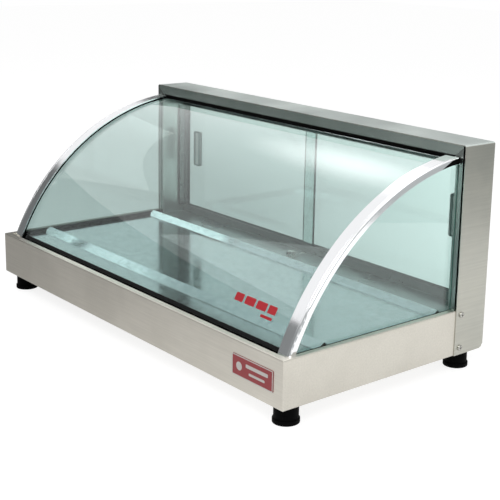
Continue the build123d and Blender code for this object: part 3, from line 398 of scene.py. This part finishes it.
# %% Brushed stainless
def steel_surface(tree, colour, cloud_colour, grain_axis, roughness):
    """Satin sheet steel. grain_axis is 0, 1 or 2: the direction in which it was brushed."""
    place = add_node(tree, "ShaderNodeTexCoord").outputs["Object"]
    grain_width, grain_length = 2.2, 90.0
    stretch = [per_metre(grain_width)] * 3
    stretch[grain_axis] = per_metre(grain_length)
    stretched = add_node(tree, "ShaderNodeMapping", {"Vector": place, "Scale": stretch})
    grain = add_node(tree, "ShaderNodeTexNoise", {
        "Vector": stretched.outputs[0], "Scale": 1.0, "Detail": 2.0, "Roughness": 0.6,
    })
    cloud_width = 110.0
    clouds = add_node(tree, "ShaderNodeTexNoise", {
        "Vector": place, "Scale": per_metre(cloud_width), "Detail": 3.0, "Roughness": 0.55,
    })
    cloud_share = add_node(tree, "ShaderNodeMapRange", {
        "Value": clouds.outputs["Fac"], "From Min": 0.36, "From Max": 0.66,
    })
    tone = add_node(tree, "ShaderNodeMix", {
        0: cloud_share.outputs[0], 6: linear(colour), 7: linear(cloud_colour),
    }, data_type="RGBA")
    grain_share = add_node(tree, "ShaderNodeMapRange", {
        "Value": grain.outputs["Fac"], "From Min": 0.3, "From Max": 0.7,
        "To Min": 0.95, "To Max": 1.04,
    })
    shaded = add_node(tree, "ShaderNodeVectorMath", {
        0: tone.outputs[2], "Scale": grain_share.outputs[0],
    }, operation="SCALE")
    sheen = add_node(tree, "ShaderNodeMapRange", {
        "Value": clouds.outputs["Fac"], "From Min": 0.3, "From Max": 0.7,
        "To Min": roughness * 0.85, "To Max": roughness * 1.15,
    })
    bump = add_node(tree, "ShaderNodeBump", {
        "Height": grain.outputs["Fac"], "Strength": 0.06, "Distance": 0.2 * mm,
    })
    return add_node(tree, "ShaderNodeBsdfPrincipled", {
        "Base Color": shaded.outputs[0], "Metallic": 1.0, "Roughness": sheen.outputs[0],
        "Normal": bump.outputs[0],
    }).outputs[0]


def brushed_stainless(name, colour, cloud_colour, grain_axis, roughness=0.34):
    """Material of one sheet, brushed one way."""
    material, tree = new_material(name)
    close_material(tree, steel_surface(tree, colour, cloud_colour, grain_axis, roughness))
    return material


def dress(material, *names):
    """Give CAD nodes one material."""
    for name in names:
        data = nodes[name].data
        data.materials.clear()
        data.materials.append(material)


dress(brushed_stainless("stainless_base", "#CBC7BD", "#D8D4CA", 0),
      "base_front", "base_left", "base_right", "base_rear", "bottom_cover")
satin_roughness = 0.34
skin_steel, tree = new_material("stainless_portal_skin")
facing = add_node(tree, "ShaderNodeSeparateXYZ", {
    0: add_node(tree, "ShaderNodeNewGeometry").outputs["True Normal"],
})
top_grain_and_painted_sky = add_node(tree, "ShaderNodeMath", {0: facing.outputs["Z"], 1: 0.5}, operation="GREATER_THAN")
# Top and sides are brushed different ways, and the top is painted lighter and cooler: a painted
# reflection of the sky.
skin_surface = add_node(tree, "ShaderNodeMixShader", {
    0: top_grain_and_painted_sky.outputs[0],
    1: steel_surface(tree, "#B4B4AC", "#C1C0B6", 1, satin_roughness),
    2: steel_surface(tree, "#C5CECA", "#D2DAD6", 0, satin_roughness),
})
close_material(tree, skin_surface.outputs[0])
dress(skin_steel, "portal_skin")
dress(brushed_stainless("stainless_deck", "#8D9696", "#A3ABAA", 0, 0.3), "deck_panel")
print("stainless on the base, the deck and the portal's skin")

# %% [markdown]
# ## The portal frame's mitred corners
# Posts and beam are folded from strips that were brushed along their length, then mitred. The
# two directions of grain meet at a slanted line in each upper corner and mirror the room a
# little differently. The beam is also painted lighter and the posts darker, as painted
# reflection and shade. One surface per direction, chosen by place, keeps that line.

# %% Mitred portal frame
frame_low, frame_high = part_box("portal_frame")
doorway_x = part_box("door_jamb_right")[1][0]
soffit_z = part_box("door_head_track")[1][2]
mitre_slope = (frame_high[0] - doorway_x) / (frame_high[2] - soffit_z)
mitred_steel, tree = new_material("stainless_mitred_frame")
frame_place = add_node(tree, "ShaderNodeSeparateXYZ", {
    0: add_node(tree, "ShaderNodeNewGeometry").outputs["Position"],
})
out_from_doorway = add_node(tree, "ShaderNodeMath", {
    0: add_node(tree, "ShaderNodeMath", {0: frame_place.outputs["X"]}, operation="ABSOLUTE").outputs[0],
    1: doorway_x,
}, operation="SUBTRACT")
up_from_soffit = add_node(tree, "ShaderNodeMath", {
    0: frame_place.outputs["Z"], 1: mitre_slope, 2: -soffit_z * mitre_slope,
}, operation="MULTIPLY_ADD")
post_grain_and_painted_shade = add_node(tree, "ShaderNodeMath", {
    0: out_from_doorway.outputs[0], 1: up_from_soffit.outputs[0],
}, operation="GREATER_THAN")
# Beam colour painted lighter and post colour painted darker: painted reflection and shade, beside the
# two real grain directions.
mitred = add_node(tree, "ShaderNodeMixShader", {
    0: post_grain_and_painted_shade.outputs[0],
    1: steel_surface(tree, "#C0CFC8", "#CED9D3", 0, 0.2),
    2: steel_surface(tree, "#939B97", "#9FA6A2", 2, 0.3),
})
close_material(tree, mitred.outputs[0])
dress(mitred_steel, "portal_frame")
print("mitre slope", round(mitre_slope, 3))

# %% [markdown]
# ## Galvanised sheet
# The warming plate is zinc-coated sheet, a dull mirror. Its zinc froze in small crystals, about
# 6 mm across, each mirroring the light a little differently, and thin sheet is never quite flat.
# Voronoi cells give each crystal its own grey and gloss, and a long low bump bends the picture.

# %% Galvanised sheet
crystal_width = 6.0
wave_width = 45.0


def galvanised(name, colour, dark_colour):
    """Zinc spangle: crystals of a real size, each with its own tone and gloss."""
    material, tree = new_material(name)
    place = add_node(tree, "ShaderNodeTexCoord").outputs["Object"]
    crystals = add_node(tree, "ShaderNodeTexVoronoi", {
        "Vector": place, "Scale": per_metre(crystal_width),
    })
    share = add_node(tree, "ShaderNodeSeparateColor", {0: crystals.outputs["Color"]})
    tone = add_node(tree, "ShaderNodeMix", {
        0: share.outputs[0], 6: linear(dark_colour), 7: linear(colour),
    }, data_type="RGBA")
    gloss = add_node(tree, "ShaderNodeMapRange", {
        "Value": share.outputs[1], "To Min": 0.1, "To Max": 0.2,
    })
    waves = add_node(tree, "ShaderNodeTexNoise", {
        "Vector": place, "Scale": per_metre(wave_width), "Detail": 1.0,
    })
    bump = add_node(tree, "ShaderNodeBump", {
        "Height": waves.outputs["Fac"], "Strength": 0.25, "Distance": 0.3 * mm,
    })
    zinc = add_node(tree, "ShaderNodeBsdfPrincipled", {
        "Base Color": tone.outputs[2], "Metallic": 1.0, "Roughness": gloss.outputs[0],
        "Normal": bump.outputs[0],
    })
    close_material(tree, zinc.outputs[0])
    return material


dress(galvanised("galvanised_sheet", "#C6D0D3", "#B7C3C6"), "warming_plate", "element_brackets")
print("zinc crystals", crystal_width, "mm across")

# %% [markdown]
# ## Glass
# Float glass is clear through its face and green through its edge, because iron in it takes a
# little red light over a long path. The panes are real solids, so a refracting surface bends
# light properly. Lamps have to reach the food inside, and a path tracer can't aim lamp rays
# through a bent surface, so for shadow rays the pane is a plain tinted film. The ground edges
# are a darker green, chosen by the direction in which a face points.

# %% Float glass
def float_glass(name, tint, edge_colour, face_axes):
    """Pane glass. face_axes are the axes along which its clear faces point."""
    material, tree = new_material(name)
    normal = add_node(tree, "ShaderNodeNewGeometry").outputs["True Normal"]
    parts = add_node(tree, "ShaderNodeSeparateXYZ", {0: normal})
    square = None
    for axis in face_axes:
        term = add_node(tree, "ShaderNodeMath", {
            0: parts.outputs[axis], 1: parts.outputs[axis],
        }, operation="MULTIPLY").outputs[0]
        square = term if square is None else add_node(tree, "ShaderNodeMath", {
            0: square, 1: term,
        }, operation="ADD").outputs[0]
    on_edge = add_node(tree, "ShaderNodeMath", {0: square, 1: 0.5}, operation="LESS_THAN").outputs[0]
    pane = add_node(tree, "ShaderNodeBsdfPrincipled", {
        "Base Color": linear(tint), "Transmission Weight": 1.0, "IOR": 1.5, "Roughness": 0.0,
    })
    edge = add_node(tree, "ShaderNodeBsdfPrincipled", {
        "Base Color": linear(edge_colour), "Roughness": 0.25, "IOR": 1.5,
    })
    solid = add_node(tree, "ShaderNodeMixShader", {
        0: on_edge, 1: pane.outputs[0], 2: edge.outputs[0],
    })
    film = add_node(tree, "ShaderNodeBsdfTransparent", {"Color": linear(tint)})
    path = add_node(tree, "ShaderNodeLightPath")
    for_lamps = add_node(tree, "ShaderNodeMixShader", {
        0: path.outputs["Is Shadow Ray"], 1: solid.outputs[0], 2: film.outputs[0],
    })
    close_material(tree, for_lamps.outputs[0])
    return material


dress(float_glass("curved_float_glass", "#DEEBE9", "#2F5B50", (1, 2)), "front_glass")
dress(float_glass("side_float_glass", "#DCEBE8", "#2F5B50", (0,)),
      "side_glass_left", "side_glass_right")
dress(float_glass("door_float_glass", "#D4E4E1", "#16302A", (1,)), "door_left", "door_right")
print("glass on 5 panes")

# %% [markdown]
# ## Aluminium and small metal
# The trims are extruded and polished aluminium, the tracks and jambs are anodised, and screws and
# clips are zinc-plated steel. A single gloss would make them look new and drawn, so it changes a
# little over every 9 mm, as handling leaves it. One recipe with other numbers serves them all.

# %% Aluminium and plated steel
def aluminium(name, colour, roughness):
    """Smooth bare metal whose gloss changes a little from place to place."""
    material, tree = new_material(name)
    place = add_node(tree, "ShaderNodeTexCoord").outputs["Object"]
    mark_width = 9.0
    marks = add_node(tree, "ShaderNodeTexNoise", {
        "Vector": place, "Scale": per_metre(mark_width), "Detail": 2.0,
    })
    gloss = add_node(tree, "ShaderNodeMapRange", {
        "Value": marks.outputs["Fac"], "From Min": 0.3, "From Max": 0.7,
        "To Min": roughness * 0.8, "To Max": roughness * 1.25,
    })
    metal = add_node(tree, "ShaderNodeBsdfPrincipled", {
        "Base Color": linear(colour), "Metallic": 1.0, "Roughness": gloss.outputs[0],
    })
    close_material(tree, metal.outputs[0])
    return material


dress(aluminium("polished_aluminium", "#F2F3F5", 0.12), "trim_left", "trim_right")
dress(aluminium("anodised_aluminium", "#656C6A", 0.34), "door_sill", "door_head_track")
dress(aluminium("anodised_jamb_aluminium", "#585F5D", 0.3), "door_jamb_left", "door_jamb_right")
dress(aluminium("dial_aluminium", "#D3D5D6", 0.3), "thermostat_dial")
dress(aluminium("zinc_plated_steel", "#B9B8B2", 0.28),
      "portal_screws", "cover_screws", "foot_screws", "foot_nuts", "thermostat_screws",
      "thermostat_shaft", "element_terminals", "sensor_clip", "sensor_bulb")
print("metal finishes done")

# %% [markdown]
# ## Rubber, plastics, enamel and ceramic
# Extruded EPDM rubber is black and nearly without gloss, moulded ABS has a satin grain, and the
# enamelled badge and the lamp's lens lie under a thin clear coat. These too are one recipe: noise
# as wide as the grain moves the colour a little and drives a shallow bump.

# %% Rubber, plastics, enamel and ceramic
def dull(name, colour, lighter, grain_mm, roughness, bump_mm=0.05, coat=0.0, gloss=0.5):
    """Moulded or extruded non-metal with a small grain."""
    material, tree = new_material(name)
    place = add_node(tree, "ShaderNodeTexCoord").outputs["Object"]
    grain = add_node(tree, "ShaderNodeTexNoise", {
        "Vector": place, "Scale": per_metre(grain_mm), "Detail": 2.0,
    })
    tone = add_node(tree, "ShaderNodeMix", {
        0: grain.outputs["Fac"], 6: linear(colour), 7: linear(lighter),
    }, data_type="RGBA")
    bump = add_node(tree, "ShaderNodeBump", {
        "Height": grain.outputs["Fac"], "Strength": 0.4, "Distance": bump_mm * mm,
    })
    surface = add_node(tree, "ShaderNodeBsdfPrincipled", {
        "Base Color": tone.outputs[2], "Roughness": roughness, "Normal": bump.outputs[0],
        "Coat Weight": coat, "Specular IOR Level": gloss,
    })
    close_material(tree, surface.outputs[0])
    return material


dress(dull("epdm_rubber", "#020202", "#060606", 2.5, 0.6, gloss=0.05),
      "trim_gasket_left", "trim_gasket_right", "corner_seal_left", "corner_seal_right",
      "beam_gasket", "front_glass_seal", "side_channel_left", "side_channel_right",
      "foot_front_left", "foot_front_right", "foot_rear_left", "foot_rear_right")
dress(dull("grey_pull_plastic", "#9DA5A1", "#ABB2AE", 3.0, 0.4), "door_pull_left", "door_pull_right")
dress(dull("black_abs", "#161718", "#222425", 2.0, 0.42),
      "thermostat_knob", "cord_gland", "gland_nut", "pilot_lamp_body", "thermostat_body")
dress(dull("steatite_ceramic", "#E6E1D6", "#F0ECE2", 3.0, 0.5), "terminal_block")
dress(dull("silicone_lead", "#9A9890", "#A8A69E", 3.0, 0.5), "leads")
dress(dull("red_enamel", "#8F111B", "#981822", 6.0, 0.3, coat=0.2), "badge_plate")
dress(dull("red_lamp_lens", "#B3150F", "#C11D16", 4.0, 0.12, coat=0.5), "pilot_lamp_lens")
dress(dull("oxidised_element_sheath", "#4A4640", "#5C574F", 5.0, 0.45), "heating_element")
print("dull finishes done")

# %% [markdown]
# ## Printed and pressed details
# Prints and lips could be painted into a texture, but thin solids keep crisp edges at any distance
# and catch light at their rims. One function turns a rounded rectangle into such a solid. Each
# piece brings a second function that says where a point of it goes, so the same outline can lie on
# the flat badge or follow the bend of the glass.

# %% Thin solids from rounded rectangles
corner_steps = 5


def rounded_outline(width, height, radius, middle=(0.0, 0.0)):
    """Points round a rectangle with rounded corners."""
    points = []
    for across, up, start in ((1, 1, 0), (-1, 1, 90), (-1, -1, 180), (1, -1, 270)):
        for i in range(corner_steps + 1):
            turn = math.radians(start + 90 * i / corner_steps)
            points.append((
                middle[0] + across * (width / 2 - radius) + radius * math.cos(turn),
                middle[1] + up * (height / 2 - radius) + radius * math.sin(turn),
            ))
    return points


def add_sheet(shape, place, thickness, outer, inner=None):
    """Add a thin closed solid to a mesh: a plate, or a ring if it has an inner outline."""
    def corners(outline, lift):
        return [shape.verts.new(place(u, v, lift)) for u, v in outline]

    count = len(outer)
    low, high = corners(outer, 0.0), corners(outer, thickness)
    walls = [(low, high)]
    if inner:
        inner_low, inner_high = corners(inner, 0.0), corners(inner, thickness)
        walls += [(inner_high, inner_low), (high, inner_high), (inner_low, low)]
    else:
        shape.faces.new(high)
        shape.faces.new(low[::-1])
    for first, second in walls:
        for i in range(count):
            j = (i + 1) % count
            shape.faces.new((first[i], first[j], second[j], second[i]))


def finish_piece(name, shape, body, material):
    """Turn a bmesh into a piece that rides on a body."""
    bmesh.ops.recalc_face_normals(shape, faces=shape.faces)
    mesh = bpy.data.meshes.new(name)
    shape.to_mesh(mesh)
    shape.free()
    mesh.materials.append(material)
    piece = bpy.data.objects.new(name, mesh)
    bpy.context.scene.collection.objects.link(piece)
    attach(piece, body)
    print(name, len(mesh.polygons), "faces")
    return piece


# %% [markdown]
# ## The badge
# The badge is an enamelled plate with a bright printed rim. A disc and two plain bars hold the
# place of its print. A bevel on the plate could give the rim, but a ring that stands 0.08 mm proud
# is what a thick print does.

# %% Badge rim, disc and bars
badge_low, badge_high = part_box("badge_plate")
badge_size = (badge_high[0] - badge_low[0], badge_high[2] - badge_low[2])
badge_middle = ((badge_low[0] + badge_high[0]) / 2, (badge_low[2] + badge_high[2]) / 2)
print_height = 0.08 * mm


def on_badge(u, v, lift):
    """Point on the badge's face, u to the right and v up."""
    return (badge_middle[0] + u, badge_low[1] - lift, badge_middle[1] + v)


rim_width = 1.3 * mm
badge_radius = 1.5 * mm
badge_bar_radius = 1.0 * mm
disc_share = 0.49
shape = bmesh.new()
add_sheet(
    shape, on_badge, print_height,
    rounded_outline(*badge_size, badge_radius),
    rounded_outline(badge_size[0] - 2 * rim_width, badge_size[1] - 2 * rim_width, badge_radius / 2),
)
# Width, height, place across and place up of each bar, in mm from the badge's middle
bar_rows = ((42.0, 4.6, 9.0, 4.2), (30.0, 3.2, 9.0, -4.8))
for width, height, across, up in bar_rows:
    middle = (across * mm, up * mm)
    add_sheet(shape, on_badge, print_height,
              rounded_outline(width * mm, height * mm, badge_bar_radius, middle))
disc_size, disc_across = 11.0 * mm, -25.0 * mm
disc = rounded_outline(disc_size, disc_size, disc_size * disc_share, (disc_across, 0.0))
add_sheet(shape, on_badge, print_height, disc)
badge_silver = dull("silver_screen_print", "#C4C0BC", "#D2CECA", 3.0, 0.35)
finish_piece("badge_rim_and_bars", shape, "case", badge_silver)

# %% [markdown]
# ## The mark on the glass
# Red bars are screen printed on the bent glass. A flat sheet would float off the bend, and a
# shrinkwrap would need many points, so each point is placed by its angle round the bend's axis.
# The axis follows from the glass's two long edges and its radius.

# %% Red bars printed on the curved glass
glass_points = [vertex.co for vertex in nodes["front_glass"].data.vertices]
foot_edge = min(glass_points, key=lambda point: point.y)
top_edge = max(glass_points, key=lambda point: point.z)
bend_radius = 339.5 * mm
chord = Vector((top_edge.y - foot_edge.y, top_edge.z - foot_edge.z))
to_axis = math.sqrt(bend_radius ** 2 - (chord.length / 2) ** 2)
axis_y = (top_edge.y + foot_edge.y) / 2 + chord.y / chord.length * to_axis
axis_z = (top_edge.z + foot_edge.z) / 2 - chord.x / chord.length * to_axis
print("bend axis", round(axis_y, 4), round(axis_z, 4))
mark_x, mark_z = 252.0 * mm, 121.0 * mm
mark_turn = math.pi - math.asin((mark_z - axis_z) / bend_radius)
ink_height = 0.1 * mm


def on_glass(u, v, lift):
    """Point on the front glass's outer face, u to the right and v up along the bend."""
    turn = mark_turn - v / bend_radius
    reach = bend_radius + lift
    return (mark_x + u, axis_y + reach * math.cos(turn), axis_z + reach * math.sin(turn))


bar_radius = 1.5 * mm
shape = bmesh.new()
# Width, height, place across and place up of each bar, in mm from the mark's middle
mark_bars = (
    (16.0, 10.5, -35.0, 3.0), (19.0, 10.5, -13.5, 3.0), (19.0, 10.5, 9.0, 3.0),
    (15.0, 10.5, 29.5, 3.0), (22.0, 3.6, 24.0, -8.0),
)
for width, height, across, up in mark_bars:
    middle = (across * mm, up * mm)
    add_sheet(shape, on_glass, ink_height,
              rounded_outline(width * mm, height * mm, bar_radius, middle))
red_ink = dull("red_screen_print", "#A8121F", "#B41A28", 4.0, 0.3)
finish_piece("glass_mark_bars", shape, "case", red_ink)

# %% [markdown]
# ## The door pulls
# A pull is a moulded cup pressed into the pane, and its lip is darker than its floor. The lip
# could be a second material on the cup, but it stands a little proud, so it is a ring of its own
# that slides with its door.

# %% Pull lips
lip_height = 0.3 * mm
lip_width = 5.2 * mm
lip_outer_radius, lip_inner_radius = 3.0 * mm, 1.5 * mm
lip_material = dull("dark_pull_lip", "#4F5F5C", "#5A6B68", 3.0, 0.35)
for side in ("left", "right"):
    pull_low, pull_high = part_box("door_pull_" + side)
    middle_x, middle_z = (pull_low[0] + pull_high[0]) / 2, (pull_low[2] + pull_high[2]) / 2
    pull_size = (pull_high[0] - pull_low[0], pull_high[2] - pull_low[2])

    def on_pull(u, v, lift, middle_x=middle_x, face_y=pull_low[1], middle_z=middle_z):
        """Point on the pull's face inside the case."""
        return (middle_x + u, face_y - lift, middle_z + v)

    shape = bmesh.new()
    add_sheet(
        shape, on_pull, lip_height, rounded_outline(*pull_size, lip_outer_radius),
        rounded_outline(pull_size[0] - 2 * lip_width, pull_size[1] - lip_width, lip_inner_radius),
    )
    finish_piece("pull_lip_" + side, shape, side + "_door", lip_material)

# %% [markdown]
# ## The thermostat's dial
# The dial is printed with ten marks and the numbers 0 to 9 over three quarters of a turn, as far
# as the knob turns. The numbers come from a font, turned to thin meshes, and join the marks in one
# piece, because they are one print.

# %% Dial marks and numbers
dial_low, dial_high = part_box("thermostat_dial")
dial_x, dial_z = (dial_low[0] + dial_high[0]) / 2, (dial_low[2] + dial_high[2]) / 2
mark_count = 10
mark_step = math.radians(30)
mark_radius = 22.6 * mm
number_radius = 24.9 * mm
number_size = 3.4 * mm
tick_width, tick_length, tick_radius = 0.5 * mm, 1.5 * mm, 0.1 * mm
ink = dull("black_dial_print", "#141414", "#1C1C1C", 3.0, 0.5)


def dial_frame(turn, radius):
    """Place and axes of a mark, read from behind the case: right is -X, up is +Z."""
    centre = Vector((dial_x - radius * math.sin(turn), dial_high[1], dial_z + radius * math.cos(turn)))
    upright = Matrix(((-1, 0, 0), (0, 0, 1), (0, 1, 0))).to_4x4()
    return Matrix.Translation(centre) @ upright


shape = bmesh.new()
for k in range(mark_count):
    turn = k * mark_step
    spin = Matrix.Rotation(-turn, 4, "Z")
    here = dial_frame(turn, mark_radius) @ spin

    def on_dial(u, v, lift, here=here):
        """Point on the dial's face, v outwards along the mark."""
        return here @ Vector((u, v, lift))

    add_sheet(shape, on_dial, print_height, rounded_outline(tick_width, tick_length, tick_radius))
    digit = bpy.data.curves.new("digit", "FONT")
    digit.body = str(k)
    digit.size = number_size
    digit.extrude = print_height / 2
    digit.align_x, digit.align_y = "CENTER", "CENTER"
    holder = bpy.data.objects.new("digit", digit)
    digit_mesh = bpy.data.meshes.new_from_object(holder)
    digit_mesh.transform(dial_frame(turn, number_radius) @ Matrix.Translation((0, 0, print_height / 2)))
    shape.from_mesh(digit_mesh)
    bpy.data.objects.remove(holder)
    bpy.data.curves.remove(digit)
    bpy.data.meshes.remove(digit_mesh)
finish_piece("dial_marks_and_numbers", shape, "case", ink)

# %% [markdown]
# ## The knob's line
# A white line, printed on the grip, shows how far the knob is turned. It is a thin solid like the
# other prints, and it turns with the knob.

# %% White line on the knob
knob_face_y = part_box("thermostat_knob")[1][1]
line_width, line_length, line_radius = 1.4 * mm, 12.0 * mm, 0.6 * mm
line_middle = (0.0, 11.0 * mm)


def on_knob(u, v, lift):
    """Point on the knob's grip, v upwards at rest."""
    return (dial_x - u, knob_face_y + lift, dial_z + v)


shape = bmesh.new()
add_sheet(shape, on_knob, print_height,
          rounded_outline(line_width, line_length, line_radius, line_middle))
white_ink = dull("white_line", "#E8E6E0", "#F2F0EA", 3.0, 0.5)
finish_piece("knob_line", shape, "knob", white_ink)
